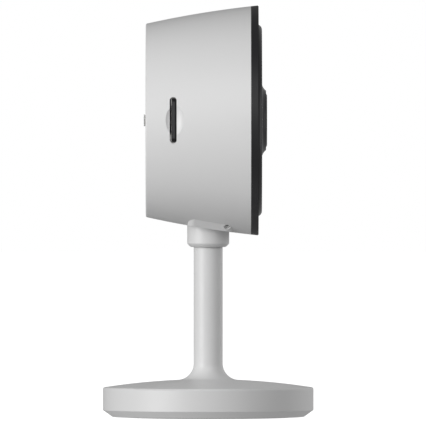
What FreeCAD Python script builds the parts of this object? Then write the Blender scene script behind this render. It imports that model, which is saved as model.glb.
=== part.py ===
"""Indoor security camera: a round head on a slim pole with a weighted round base.

Millimetres. The origin is the centre of the base's underside, on the pole's axis. +Z is up
and the lens looks along -Y, so the memory card slot is on the -X side. Every piece is a
solid of its own. The head turns on the pole, and tilts on a pin hidden in its collar.
"""

import FreeCAD, Part
import math
import os

# ---- Driving dimensions ------------------------------------------------------------------

# Stand
BASE_RADIUS = 31.6          # widest part of the base
BASE_RIM_TOP = 9.0          # top of the base's upright edge
BASE_CROWN = 2.45           # how far the domed top rises above that edge
BASE_UNDERCUT_IN = 2.8      # chamfer below the upright edge, inwards
BASE_UNDERCUT_UP = 2.2      # and upwards
BASE_EDGE_ROUND = 0.5
SHELL_WALL = 2.2
FOOT_PROUD = 0.2            # how far the rubber ring lifts the shell off the table
FOOT_THICKNESS = 0.9
FOOT_WIDTH = 5.0
FOOT_SETBACK = 6.6          # ring's outer edge inside the base's widest part
PLATE_THICKNESS = 2.2
POLE_RADIUS = 4.35
POLE_TOP = 51.35
POLE_FLARE = 5.0            # concave radius between pole and base
CORE_RADIUS = 3.4           # steel tube inside the pole
CORE_BORE = 1.9
CORE_FLANGE_RADIUS = 9.0
CORE_FLANGE_THICKNESS = 1.5
BALLAST_SETBACK = 6.1       # ballast's edge inside the base's widest part

# Swivel and tilt joint
STEM_RADIUS = 2.6
STEM_LENGTH = 12.0
TIE_ROD_RADIUS = 1.5
TILT_AXIS_RISE = 1.05       # tilt axis above the top of the pole
HINGE_EYE_RADIUS = 1.5
HINGE_EYE_WIDTH = 2.8
HINGE_EAR_THICKNESS = 1.2
HINGE_PIN_RADIUS = 0.75
NECK_LAP = 0.25             # how far the pole reaches up inside the collar
COLLAR_GAP = 0.5            # room between the collar's bore and the pole's side
COLLAR_WALL = 1.45
COLLAR_RISE = 5.55          # collar's visible height on its axis
COLLAR_CHAMFER_IN = 1.2
COLLAR_CHAMFER_UP = 1.1
COLLAR_SHOULDER = 0.4       # step between the collar and its plug in the head

# Head shell, round about the lens axis
HEAD_FRONT = 15.1           # lens side of the bezel, in front of the pole's axis
HEAD_REAR = 18.7            # back wall, behind the pole's axis
HEAD_FRONT_RADIUS = 34.5
HEAD_REAR_RADIUS = 29.0
HEAD_SIDE_BULGE = 300.0     # radius of the side's slight outward curve
HEAD_WALL = 1.8
HEAD_BACK_WALL = 2.0
HEAD_EDGE_ROUND = 0.35
BEZEL_WIDTH = 5.8
BEZEL_DEPTH = 2.3
BEZEL_SPIGOT_DEPTH = 3.2
BEZEL_SPIGOT_TIP = 0.3      # wall left at the spigot's tapered end
BEZEL_SPIGOT_TAPER = 0.4    # room round that end

# Front window and lens trim
WINDOW_PROUD = 1.0
WINDOW_THICKNESS = 1.9
WINDOW_EDGE_IN = 1.8
ADHESIVE_THICKNESS = 0.2
LENS_BOSS_FLARE = 2.1
LENS_BOSS_WALL = 0.85
LENS_BOSS_PROUD = 1.25
LENS_RING_RADIUS = 8.15
LENS_RING_PROUD = 0.3
LENS_RING_WALL = 1.4

# Neck boss moulded under the head
BOSS_SIDE_OVERHANG = 3.2    # beyond the collar, at each side
BOSS_FRONT_OVERHANG = 1.1   # and in front of it
BOSS_SIDE_SLOPE = 43.0      # degrees above level
BOSS_CORNER = 2.2
BOSS_DROP = 0.1             # depth of the collar's seat inside the head's underside

# Memory card, a standard micro card, and its slot
CARD_LENGTH = 15.0
CARD_WIDTH = 11.0
CARD_THICKNESS = 0.7
CARD_LIP_THICKNESS = 1.0
SLOT_LENGTH = 13.8
SLOT_WIDTH = 2.06
SLOT_SETBACK = 10.43        # slot's middle behind the pole's axis
SCOOP_HALF_WIDTH = 2.75
SCOOP_HALF_HEIGHT = 4.9
SCOOP_DEPTH = 1.1

# Power socket, a standard micro connector
USB_WIDTH = 7.5
USB_HEIGHT = 2.5
USB_LIP_WIDTH = 8.2
USB_LIP_HEIGHT = 3.5
USB_PROUD = 0.6

# Reset button behind a pinhole in the neck boss
PINHOLE_SINK_RADIUS = 1.05
PINHOLE_RADIUS = 0.55
PINHOLE_FORWARD = 5.75      # pinhole in front of the pole's axis
PINHOLE_RISE = 1.35         # above the boss's lower face
PLUNGER_RADIUS = 0.6

# Circuit boards and lens module
MAIN_BOARD_GAP = 0.95       # between the main board's edge and the housing
CARD_STACK = 1.23           # from the main board's back face to the slot's middle
BOARD_THICKNESS = 1.2
THIN_BOARD = 1.0
FRAME_RIM = 0.7             # wall round the lamp board
LED_BOARD_BORE = 9.0
LENS_THREAD_RADIUS = 5.9    # standard twelve millimetre board lens
FILTER_TRAVEL = 6.0

# Screws: self-tapping, shank and head radius
SCREW = 0.85
SCREW_HEAD = 1.9
SCREW_ROOM = 0.25           # between a shank and the piece that it passes through

# Clearances
FIT = 0.05                  # between pieces that slide or turn in each other
GAP = 0.2                   # between pieces that only pass each other

# ---- Places worked out from them ---------------------------------------------------------

V = FreeCAD.Vector
UP = V(0, 0, 1)
BACK = V(0, 1, 0)
SIDE = V(1, 0, 0)


def head_radius(y):
    """Outside radius of the head at depth y, on its slightly bulging side."""
    front = (-HEAD_FRONT, HEAD_FRONT_RADIUS)
    rear = (HEAD_REAR, HEAD_REAR_RADIUS)
    run, drop = rear[0] - front[0], rear[1] - front[1]
    chord = math.hypot(run, drop)
    sag = math.sqrt(HEAD_SIDE_BULGE**2 - chord**2 / 4)
    centre_y = (front[0] + rear[0]) / 2 + sag * drop / chord
    centre_r = (front[1] + rear[1]) / 2 - sag * run / chord
    return centre_r + math.sqrt(HEAD_SIDE_BULGE**2 - (y - centre_y) ** 2)


def inner_radius(y):
    return head_radius(y) - HEAD_WALL


FOOT_OUTER = BASE_RADIUS - FOOT_SETBACK
FOOT_INNER = FOOT_OUTER - FOOT_WIDTH
BALLAST_RADIUS = BASE_RADIUS - BALLAST_SETBACK
COLLAR_BORE = POLE_RADIUS + COLLAR_GAP
COLLAR_RADIUS = COLLAR_BORE + COLLAR_WALL
COLLAR_PLUG = COLLAR_RADIUS - COLLAR_SHOULDER
COLLAR_BOTTOM = POLE_TOP - NECK_LAP
BOSS_HALF_WIDTH = COLLAR_RADIUS + BOSS_SIDE_OVERHANG
BOSS_REAR = COLLAR_RADIUS
BOSS_FRONT = COLLAR_RADIUS + BOSS_FRONT_OVERHANG
SEAT_Z = COLLAR_BOTTOM + COLLAR_RISE            # collar meets the boss, on the pole's axis
LENS_Z = SEAT_Z + head_radius(0) - BOSS_DROP    # lens axis
SEAT_SLOPE = math.degrees(math.atan2(head_radius(-BOSS_FRONT) - head_radius(BOSS_REAR),
                                     BOSS_FRONT + BOSS_REAR))
TILT_Z = POLE_TOP + TILT_AXIS_RISE
SPLIT = -HEAD_FRONT + BEZEL_DEPTH               # joint between housing and bezel
BACK_INSIDE = HEAD_REAR - HEAD_BACK_WALL
WINDOW_RADIUS = HEAD_FRONT_RADIUS - BEZEL_WIDTH
WINDOW_FACE = -HEAD_FRONT - WINDOW_PROUD
WINDOW_BACK = WINDOW_FACE + WINDOW_THICKNESS
BOSS_FACE = WINDOW_FACE - LENS_BOSS_PROUD
RING_FACE = BOSS_FACE - LENS_RING_PROUD
LENS_BOSS_RADIUS = LENS_RING_RADIUS + LENS_BOSS_WALL
LENS_BOSS_FOOT = LENS_BOSS_RADIUS + LENS_BOSS_FLARE
LENS_COVER_RADIUS = LENS_RING_RADIUS - LENS_RING_WALL
LENS_COVER_FRONT = RING_FACE + 1.1
MAIN_BOARD_BACK = SLOT_SETBACK - CARD_STACK
MAIN_BOARD_FRONT = MAIN_BOARD_BACK - BOARD_THICKNESS
MAIN_BOARD_RADIUS = inner_radius(MAIN_BOARD_BACK) - MAIN_BOARD_GAP
FLANGE_TOP = TILT_Z - HINGE_EYE_RADIUS - 0.4
CORE_TOP = FLANGE_TOP - 1.0
PLATE_BOTTOM = 0.3                              # base plate's underside
PLATE_TOP = PLATE_BOTTOM + PLATE_THICKNESS
PLATE_RADIUS = BASE_RADIUS - BASE_UNDERCUT_IN - 1.6
SHELL_CEILING = BASE_RIM_TOP - SHELL_WALL + 0.6  # inside of the dome, kept level
PAD_TOP = LENS_Z - inner_radius(12.0) + 1.0     # level seat for the neck bracket
PAD_LEDGE = 1.0                                 # floor left above the collar's plug
BRACKET_THICKNESS = 1.6

# ---- Shape helpers -----------------------------------------------------------------------


def on_pole(height, radius):
    return V(radius, 0, height)


def on_lens(y, radius):
    return V(0, y, LENS_Z + radius)


def turned(points, place):
    """Solid of revolution. A point with a third item is passed through on an arc."""
    edges = []
    loop = points + [points[0]]
    i = 0
    while i < len(loop) - 1:
        start, following = place(*loop[i][:2]), place(*loop[i + 1][:2])
        if len(loop[i + 1]) == 3:
            end = place(*loop[i + 2][:2])
            edges.append(Part.Arc(start, following, end).toShape())
            i += 2
        else:
            edges.append(Part.makeLine(start, following))
            i += 1
    face = Part.Face(Part.Wire(edges))
    origin, axis = (V(0, 0, 0), UP) if place is on_pole else (V(0, 0, LENS_Z), BACK)
    solid = face.revolve(origin, axis, 360)
    return Part.makeSolid(solid) if solid.ShapeType == "Shell" else solid


def block(x, y, z):
    """Box from three (low, high) pairs."""
    return Part.makeBox(x[1] - x[0], y[1] - y[0], z[1] - z[0], V(x[0], y[0], z[0]))


def lens_block(x, y, dz):
    """Box in the head, its height counted from the lens axis."""
    return block(x, y, (LENS_Z + dz[0], LENS_Z + dz[1]))


def post(radius, bottom, top, x=0.0, y=0.0):
    """Upright cylinder."""
    return Part.makeCylinder(radius, top - bottom, V(x, y, bottom), UP)


def disc(radius, front, back, x=0.0, dz=0.0):
    """Cylinder along the lens axis."""
    return Part.makeCylinder(radius, back - front, V(x, front, LENS_Z + dz), BACK)


def ring(outer, inner, front, back, x=0.0, dz=0.0):
    return disc(outer, front, back, x, dz).cut(disc(inner, front, back, x, dz))


def around(count, radius, first=0.0):
    """Evenly spaced places on a circle, as pairs of offsets."""
    step = 2 * math.pi / count
    turn = math.radians(first)
    return [(radius * math.cos(turn + i * step), radius * math.sin(turn + i * step))
            for i in range(count)]


def fused(first, *others):
    shape = first.fuse(list(others)) if others else first
    return shape.removeSplitter()


def group(shapes):
    return Part.makeCompound(list(shapes))


def screw(place, drive, shank, head, length, depth):
    """Pan-head screw driven along drive. place is under its head, depth is the head's."""
    point = V(*place)
    body = Part.makeCylinder(shank, length, point, drive)
    cap = Part.makeCylinder(head, depth, point - drive * depth, drive)
    slot_arm = head * 0.55
    reach = depth * 0.5
    start = point - drive * depth
    side = drive.cross(SIDE if abs(drive.x) < 0.5 else UP)
    other = drive.cross(side)
    cross = []
    for along, across in ((side, other), (other, side)):
        wide = slot_arm * 0.22
        corners = [start + along * a + across * b for a, b in
                   ((-slot_arm, -wide), (slot_arm, -wide), (slot_arm, wide), (-slot_arm, wide))]
        cross.append(Part.Face(Part.makePolygon(corners + corners[:1])).extrude(drive * reach))
    return body.fuse(cap).cut(cross[0].fuse(cross[1]))


def side_arc(front, back, radius_at):
    """Three points that follow the head's side from front to back."""
    middle = (front + back) / 2
    return [(front, radius_at(front)), (middle, radius_at(middle), "arc"),
            (back, radius_at(back))]


# ---- Stand -------------------------------------------------------------------------------

BASE_SCREWS = around(3, (FOOT_INNER + FOOT_OUTER) / 2, 90)
BALLAST_SCREWS = around(3, CORE_FLANGE_RADIUS + 5.5, 30)
FLANGE_BOTTOM = SHELL_CEILING - CORE_FLANGE_THICKNESS
PLATE_SEAT = PLATE_TOP - 0.75                   # base screws' heads rest here
BALLAST_BOTTOM = PLATE_TOP + 0.5
BALLAST_SEAT = BALLAST_BOTTOM + 1.3             # ballast screws' heads rest here


def base_outline():
    """Outside of the base and pole, from the underside up to the pole's top."""
    r, top, crown = BASE_RADIUS, BASE_RIM_TOP, BASE_RIM_TOP + BASE_CROWN
    dome = ((r - 0.2) ** 2 + BASE_CROWN**2) / (2 * BASE_CROWN)
    centre = crown - dome

    def dome_z(radius):
        return centre + math.sqrt(dome**2 - radius**2)

    flare_r = POLE_RADIUS + POLE_FLARE
    flare_z = centre + math.sqrt((dome + POLE_FLARE) ** 2 - flare_r**2)
    lean = math.atan2(flare_r, flare_z - centre)
    foot = (flare_z - POLE_FLARE * math.cos(lean), flare_r - POLE_FLARE * math.sin(lean))
    half = (math.pi / 2 - lean) / 2 + lean
    middle = (flare_z - POLE_FLARE * math.cos(half), flare_r - POLE_FLARE * math.sin(half))
    rim = r - 0.2
    e = BASE_EDGE_ROUND
    return [
        (FOOT_PROUD, r - BASE_UNDERCUT_IN),
        (BASE_UNDERCUT_UP, r),
        (top - e, r),
        (top - e * 0.3, r - e * 0.3, "arc"),
        (dome_z(rim - e), rim - e),
        (dome_z(rim / 2), rim / 2, "arc"),
        foot,
        (*middle, "arc"),
        (flare_z, POLE_RADIUS),
        (POLE_TOP - 0.25, POLE_RADIUS),
        (POLE_TOP, POLE_RADIUS - 0.25),
    ]


def stand_shell():
    """Base cover and pole, one moulding, hollow and open underneath."""
    core = CORE_RADIUS
    inside = [
        (POLE_TOP, core + FIT),
        (SHELL_CEILING, core + FIT),
        (SHELL_CEILING, BASE_RADIUS - SHELL_WALL - 1.2),
        (BASE_UNDERCUT_UP + 0.8, BASE_RADIUS - SHELL_WALL),
        (PLATE_TOP, PLATE_RADIUS - 0.8),
        (PLATE_TOP, PLATE_RADIUS + GAP),
        (FOOT_PROUD, PLATE_RADIUS + GAP),
    ]
    shell = turned(base_outline() + inside, on_pole)
    bosses = [post(2.6, PLATE_TOP, SHELL_CEILING + 0.2, x, y) for x, y in BASE_SCREWS]
    holes = [post(SCREW, 0, SHELL_CEILING - 0.4, x, y) for x, y in BASE_SCREWS]
    holes += [post(SCREW, 0, SHELL_CEILING + 2.0, x, y) for x, y in BALLAST_SCREWS]
    return fused(shell, *bosses).cut(group(holes))


def pole_core():
    """Steel tube that stiffens the pole, with a flange under the base's ceiling."""
    stem_room = CORE_TOP - STEM_LENGTH - GAP
    return turned([
        (FLANGE_BOTTOM, CORE_BORE), (FLANGE_BOTTOM, CORE_FLANGE_RADIUS),
        (SHELL_CEILING, CORE_FLANGE_RADIUS), (SHELL_CEILING, CORE_RADIUS),
        (CORE_TOP, CORE_RADIUS), (CORE_TOP, STEM_RADIUS + FIT),
        (stem_room, STEM_RADIUS + FIT), (stem_room, CORE_BORE),
    ], on_pole)


def ballast_weight():
    """Cast iron ring that steadies the stand and clamps the core's flange to the shell."""
    top, edge = SHELL_CEILING - FIT, 0.6
    inner = CORE_FLANGE_RADIUS - 3.5
    weight = turned([
        (BALLAST_BOTTOM, inner), (BALLAST_BOTTOM, BALLAST_RADIUS - edge),
        (BALLAST_BOTTOM + edge, BALLAST_RADIUS), (top - edge, BALLAST_RADIUS),
        (top, BALLAST_RADIUS - edge), (top, CORE_FLANGE_RADIUS + GAP),
        (FLANGE_BOTTOM, CORE_FLANGE_RADIUS + GAP), (FLANGE_BOTTOM, inner),
    ], on_pole)
    clear = [post(2.6 + GAP, 0, POLE_TOP, x, y) for x, y in BASE_SCREWS]
    clear += [post(SCREW + SCREW_ROOM, 0, POLE_TOP, x, y) for x, y in BALLAST_SCREWS]
    clear += [post(SCREW_HEAD + SCREW_ROOM, 0, BALLAST_SEAT, x, y) for x, y in BALLAST_SCREWS]
    return weight.cut(group(clear))


def ballast_screws():
    length = SHELL_CEILING + 1.7 - BALLAST_SEAT
    return group(screw((x, y, BALLAST_SEAT), UP, SCREW, SCREW_HEAD, length, 1.1)
                 for x, y in BALLAST_SCREWS)


def base_plate():
    """Round plate that closes the base, recessed for the rubber ring."""
    plate = post(PLATE_RADIUS, PLATE_BOTTOM, PLATE_TOP)
    groove = post(FOOT_OUTER + FIT, 0, FOOT_THICKNESS)
    groove = groove.cut(post(FOOT_INNER - FIT, 0, FOOT_THICKNESS))
    holes = [post(SCREW + SCREW_ROOM, 0, PLATE_TOP, x, y) for x, y in BASE_SCREWS]
    holes += [post(SCREW_HEAD + GAP, 0, PLATE_SEAT, x, y) for x, y in BASE_SCREWS]
    return plate.cut(groove).cut(group(holes))


def base_screws():
    """Screws through the base plate, their heads hidden under the rubber ring."""
    length = SHELL_CEILING - 0.8 - PLATE_SEAT
    return group(screw((x, y, PLATE_SEAT), UP, SCREW, SCREW_HEAD, length, 0.75)
                 for x, y in BASE_SCREWS)


def foot_ring():
    """Rubber ring that the camera stands on."""
    e = 0.15
    return turned([
        (0, FOOT_INNER + e), (0, FOOT_OUTER - e), (e, FOOT_OUTER),
        (FOOT_THICKNESS, FOOT_OUTER), (FOOT_THICKNESS, FOOT_INNER), (e, FOOT_INNER),
    ], on_pole)


# ---- Swivel ------------------------------------------------------------------------------

TIE_ROD_BOTTOM = PLATE_TOP + 0.5
NUT_TOP = FLANGE_BOTTOM - 0.6


def swivel_knuckle():
    """Turning stem with a flange on the pole and an eye for the tilt pin."""
    stem = post(STEM_RADIUS, CORE_TOP - STEM_LENGTH, CORE_TOP)
    flange = post(CORE_RADIUS - GAP, CORE_TOP + FIT, FLANGE_TOP)
    neck = post(STEM_RADIUS, CORE_TOP - 0.5, FLANGE_TOP)
    eye = Part.makeCylinder(HINGE_EYE_RADIUS, HINGE_EYE_WIDTH,
                            V(-HINGE_EYE_WIDTH / 2, 0, TILT_Z), SIDE)
    web = block((-HINGE_EYE_WIDTH / 2, HINGE_EYE_WIDTH / 2),
                (-HINGE_EYE_RADIUS, HINGE_EYE_RADIUS), (FLANGE_TOP - 0.5, TILT_Z))
    pin_hole = Part.makeCylinder(HINGE_PIN_RADIUS + FIT, 10, V(-5, 0, TILT_Z), SIDE)
    tapped = post(TIE_ROD_RADIUS, CORE_TOP - STEM_LENGTH - 1, CORE_TOP - 3)
    return fused(stem, flange, neck, eye, web).cut(pin_hole).cut(tapped)


def tie_rod():
    """Long threaded rod that pulls the knuckle down against the pole."""
    return post(TIE_ROD_RADIUS, TIE_ROD_BOTTOM, CORE_TOP - 3)


def pan_lock_nut():
    """Hexagonal lock nut under the base's ceiling."""
    across = 3.1
    corners = [V(x, y, TIE_ROD_BOTTOM + 0.4) for x, y in around(6, across)]
    prism = Part.Face(Part.makePolygon(corners + corners[:1]))
    height = NUT_TOP - TIE_ROD_BOTTOM - 0.4
    return prism.extrude(UP * height).cut(post(TIE_ROD_RADIUS, 0, NUT_TOP + 1))


def pan_spring_washer():
    """Dished washer that gives the swivel its drag."""
    top = FLANGE_BOTTOM - FIT
    return turned([
        (NUT_TOP, TIE_ROD_RADIUS + 0.1), (NUT_TOP, TIE_ROD_RADIUS + 1.2),
        (top - 0.3, 3.8), (top, 3.8), (NUT_TOP + 0.3, TIE_ROD_RADIUS + 0.1),
    ], on_pole)


# ---- Neck --------------------------------------------------------------------------------

EAR_START = HINGE_EYE_WIDTH / 2 + FIT
EAR_END = EAR_START + HINGE_EAR_THICKNESS
BRACKET_SCREWS = ((-3.6, 9.2), (3.6, 9.2))


def seat_plane(shape):
    """Lean a shape with the head's underside, about the collar's seat."""
    leaning = shape.copy()
    leaning.rotate(V(0, 0, SEAT_Z), SIDE, SEAT_SLOPE)
    return leaning


def above_seat():
    return seat_plane(block((-40, 40), (-40, 40), (SEAT_Z, SEAT_Z + 40)))


def neck_collar():
    """Sleeve round the tilt joint, plugged into the head."""
    r, bottom = COLLAR_RADIUS, COLLAR_BOTTOM
    top = PAD_TOP - PAD_LEDGE - FIT
    outer = turned([
        (bottom, COLLAR_BORE), (bottom, r - COLLAR_CHAMFER_IN),
        (bottom + COLLAR_CHAMFER_UP * 0.45, r - COLLAR_CHAMFER_IN * 0.42, "arc"),
        (bottom + COLLAR_CHAMFER_UP, r), (top, r), (top, COLLAR_BORE),
    ], on_pole)
    shoulder = post(r + 1, bottom, top + 1).cut(post(COLLAR_PLUG, bottom, top + 1))
    return outer.cut(shoulder.common(above_seat()))


def neck_bracket():
    """Steel plate on the head's floor, with two ears that hold the tilt pin."""
    plate = block((-5.6, 5.6), (-5.2, 11.6), (PAD_TOP, PAD_TOP + BRACKET_THICKNESS))
    ears = []
    for side in (-1, 1):
        low, high = sorted((side * EAR_START, side * EAR_END))
        ears.append(block((low, high), (-HINGE_EYE_RADIUS, HINGE_EYE_RADIUS),
                          (TILT_Z, PAD_TOP + 0.5)))
        ears.append(Part.makeCylinder(HINGE_EYE_RADIUS, high - low, V(low, 0, TILT_Z), SIDE))
    holes = [post(SCREW + SCREW_ROOM, PAD_TOP - 1, PAD_TOP + 5, x, y)
             for x, y in BRACKET_SCREWS]
    pin_hole = Part.makeCylinder(HINGE_PIN_RADIUS, 12, V(-6, 0, TILT_Z), SIDE)
    return fused(plate, *ears).cut(group(holes)).cut(pin_hole)


def bracket_screws():
    return group(screw((x, y, PAD_TOP + BRACKET_THICKNESS), UP * -1, SCREW, SCREW_HEAD,
                       BRACKET_THICKNESS + 1.9, 1.0) for x, y in BRACKET_SCREWS)


def hinge_pin():
    """Pin along X, pressed into the bracket's ears and free in the knuckle's eye."""
    return Part.makeCylinder(HINGE_PIN_RADIUS, 2 * EAR_END + 0.4,
                             V(-EAR_END - 0.2, 0, TILT_Z), SIDE)


# ---- Head shell --------------------------------------------------------------------------

BOARD_POSTS = around(3, 22.0, 90)               # main board, on posts from the back wall
FRAME_FRONT = SPLIT + 2.0
FRAME_BACK = FRAME_FRONT + 1.6
FRAME_SCREW_CIRCLE = inner_radius(FRAME_BACK) - 3.8
FRAME_SCREWS = around(3, FRAME_SCREW_CIRCLE, 90)    # on lugs inside the housing
SPIGOT_END = SPLIT + BEZEL_SPIGOT_DEPTH
SPIGOT_BORE = inner_radius(SPIGOT_END) - BEZEL_SPIGOT_TAPER - BEZEL_SPIGOT_TIP
FRAME_RADIUS = SPIGOT_BORE - 0.35
LED_BOARD_RADIUS = FRAME_SCREW_CIRCLE - SCREW_HEAD - FRAME_RIM - FIT
SPEAKER_DZ = -14.5
SPEAKER_RADIUS = 8.0
USB_BOARD_BACK = HEAD_REAR + USB_PROUD - 5.2
USB_SCREWS = ((-8.6, 0.0), (8.6, 0.0))
GRILLE_PITCH = 2.0
GRILLE_HOLE = 0.5
SNAP_HEIGHT = 0.35
ANTENNA_HALF_WIDTH = 9.0
ANTENNA_BACK = 5.5
ANTENNA_DZ = math.sqrt(inner_radius(ANTENNA_BACK) ** 2 - ANTENNA_HALF_WIDTH**2) - FIT
MIC_DZ = -21.0
RESET_SEAT = 4.4                                # depth of the reset board's seat
PLUNGER_START = 3.0                             # depth of the button's tip
SWITCH_RADIUS = 1.6


def neck_boss():
    """Wide boss with sloping sides that blends the collar into the round head."""
    height = 4.9
    spread = height / math.tan(math.radians(BOSS_SIDE_SLOPE))
    low, high = BOSS_HALF_WIDTH, BOSS_HALF_WIDTH + spread
    corners = [V(x, -BOSS_FRONT, z) for x, z in
               ((-low, SEAT_Z), (low, SEAT_Z), (high, SEAT_Z + height), (-high, SEAT_Z + height))]
    end_face = Part.Face(Part.makePolygon(corners + corners[:1]))
    prism = end_face.extrude(BACK * (BOSS_FRONT + BOSS_REAR))
    sloping = [e for e in prism.Edges
               if abs(e.Vertexes[0].Z - e.Vertexes[1].Z) > 1]
    return seat_plane(prism.makeFillet(BOSS_CORNER, sloping))


def speaker_grille():
    """Ring-by-ring pattern of small holes through the back wall."""
    places = [(0.0, 0.0)]
    for turn in range(1, 4):
        places += around(6 * turn, GRILLE_PITCH * turn, 30)
    return group(disc(GRILLE_HOLE, BACK_INSIDE - 1, HEAD_REAR + 1, x, SPEAKER_DZ + dz)
                 for x, dz in places)


def card_slot():
    """Round-ended slot for the card, with a shallow scoop for a fingernail."""
    end = SLOT_WIDTH / 2
    half = SLOT_LENGTH / 2 - end
    outside = -HEAD_FRONT_RADIUS
    inside = -inner_radius(SLOT_SETBACK) + 2.5
    slot = lens_block((outside, inside), (SLOT_SETBACK - end, SLOT_SETBACK + end), (-half, half))
    ends = [Part.makeCylinder(end, inside - outside, V(outside, SLOT_SETBACK, LENS_Z + dz), SIDE)
            for dz in (-half, half)]
    return slot.fuse(ends)


def nail_scoop():
    """Part of an egg-shaped solid that reaches into the wall round the slot."""
    deep = 2 * SCOOP_DEPTH
    share = math.sqrt(0.75)
    ball = Part.makeSphere(1.0)
    stretch = FreeCAD.Matrix()
    stretch.scale(deep, SCOOP_HALF_WIDTH / share, SCOOP_HALF_HEIGHT / share)
    egg = ball.transformGeometry(stretch)
    surface = head_radius(SLOT_SETBACK)
    egg.translate(V(-surface - deep + SCOOP_DEPTH, SLOT_SETBACK, LENS_Z))
    return egg


def pinhole_line():
    """Mouth of the reset pinhole and its direction into the head."""
    slope = math.radians(BOSS_SIDE_SLOPE)
    mouth = V(-BOSS_HALF_WIDTH - PINHOLE_RISE / math.tan(slope), -PINHOLE_FORWARD,
              SEAT_Z + PINHOLE_RISE - PINHOLE_FORWARD * math.tan(math.radians(SEAT_SLOPE)))
    inward = V(math.sin(slope), 0.10, math.cos(slope))
    return mouth, inward.normalize()


def along_pinhole(radius, start, end):
    """Cylinder on the pinhole's line, between two depths."""
    mouth, inward = pinhole_line()
    return Part.makeCylinder(radius, end - start, mouth + inward * start, inward)


def rear_housing():
    """Cup-shaped moulding with the neck boss, posts, lugs and all the openings."""
    e = HEAD_EDGE_ROUND
    r = head_radius(HEAD_REAR)
    outer = side_arc(SPLIT, HEAD_REAR - e, head_radius)
    rounded = [(HEAD_REAR - e * 0.3, r - e * 0.3, "arc"), (HEAD_REAR, r - e)]
    inner = side_arc(BACK_INSIDE, SPLIT, inner_radius)
    cup = turned(outer + rounded + [(HEAD_REAR, 0), (BACK_INSIDE, 0)] + inner, on_lens)
    cavity = turned([(SPLIT, 0), (BACK_INSIDE, 0)] + inner, on_lens)
    envelope = turned(outer + rounded + [(HEAD_REAR, 0), (SPLIT, 0)], on_lens)

    boss = neck_boss().cut(cavity)
    pad = block((-COLLAR_PLUG, COLLAR_PLUG), (-COLLAR_PLUG - 0.5, 12.6),
                (SEAT_Z + 1, PAD_TOP)).common(envelope)
    reset_pad = along_pinhole(3.4, 1.5, RESET_SEAT)
    lugs = [disc(2.4, FRAME_BACK, FRAME_BACK + 6, x * out, dz * out).common(envelope)
            for x, dz in FRAME_SCREWS for out in (1.0, 1.06)]
    posts = [disc(2.2, MAIN_BOARD_BACK, BACK_INSIDE + 0.2, x, dz) for x, dz in BOARD_POSTS]
    posts += [disc(1.7, USB_BOARD_BACK, BACK_INSIDE + 0.2, x, dz) for x, dz in USB_SCREWS]
    posts.append(ring(SPEAKER_RADIUS + 1.2, SPEAKER_RADIUS + FIT, BACK_INSIDE - 2.5,
                      BACK_INSIDE + 0.2, 0, SPEAKER_DZ))
    shelf_width = ANTENNA_HALF_WIDTH + 0.5
    shelf = lens_block((-shelf_width, shelf_width), (-1.0, ANTENNA_BACK + 0.5),
                       (ANTENNA_DZ, HEAD_FRONT_RADIUS)).common(envelope)
    body = fused(cup, boss, pad, reset_pad, *lugs, *posts, shelf)

    holes = [post(COLLAR_PLUG + FIT, SEAT_Z - 3, PAD_TOP - PAD_LEDGE),
             post(COLLAR_BORE, SEAT_Z - 3, PAD_TOP + 1),
             seat_plane(post(COLLAR_RADIUS + 0.6, SEAT_Z - 4, SEAT_Z))]
    holes += [post(SCREW, PAD_TOP - 2.4, PAD_TOP, x, y) for x, y in BRACKET_SCREWS]
    holes += [disc(SCREW, FRAME_BACK, FRAME_BACK + 5, x, dz) for x, dz in FRAME_SCREWS]
    holes += [disc(SCREW, MAIN_BOARD_BACK, MAIN_BOARD_BACK + 5, x, dz) for x, dz in BOARD_POSTS]
    holes += [disc(0.7, USB_BOARD_BACK, BACK_INSIDE + 0.4, x, dz) for x, dz in USB_SCREWS]
    holes += [card_slot(), nail_scoop(), speaker_grille(), usb_opening()]
    holes += [along_pinhole(PINHOLE_SINK_RADIUS, -3, 0.9),
              along_pinhole(PINHOLE_RADIUS, 0, RESET_SEAT),
              along_pinhole(SWITCH_RADIUS + GAP, PLUNGER_START - GAP, RESET_SEAT + 3)]
    holes.append(turned([(SPLIT + 1.9, inner_radius(SPLIT + 2) - 1),
                         (SPLIT + 1.9, inner_radius(SPLIT + 2) + SNAP_HEIGHT),
                         (SPLIT + 3.0, inner_radius(SPLIT + 2) + SNAP_HEIGHT),
                         (SPLIT + 3.0, inner_radius(SPLIT + 2) - 1)], on_lens))
    holes.append(across_pinhole(FIT, 2 * THIN_BOARD))
    for hole in holes:
        body = body.cut(hole)
    return body


def usb_opening():
    """Opening in the back wall, with room for a plug's moulded end."""
    half_w, half_h = USB_LIP_WIDTH / 2 + 0.35, USB_LIP_HEIGHT / 2 + 0.35
    opening = lens_block((-half_w, half_w), (BACK_INSIDE - 1, HEAD_REAR + 1), (-half_h, half_h))
    corners = [e for e in opening.Edges if abs(e.Vertexes[0].Y - e.Vertexes[1].Y) > 1]
    return opening.makeFillet(1.2, corners)


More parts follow.
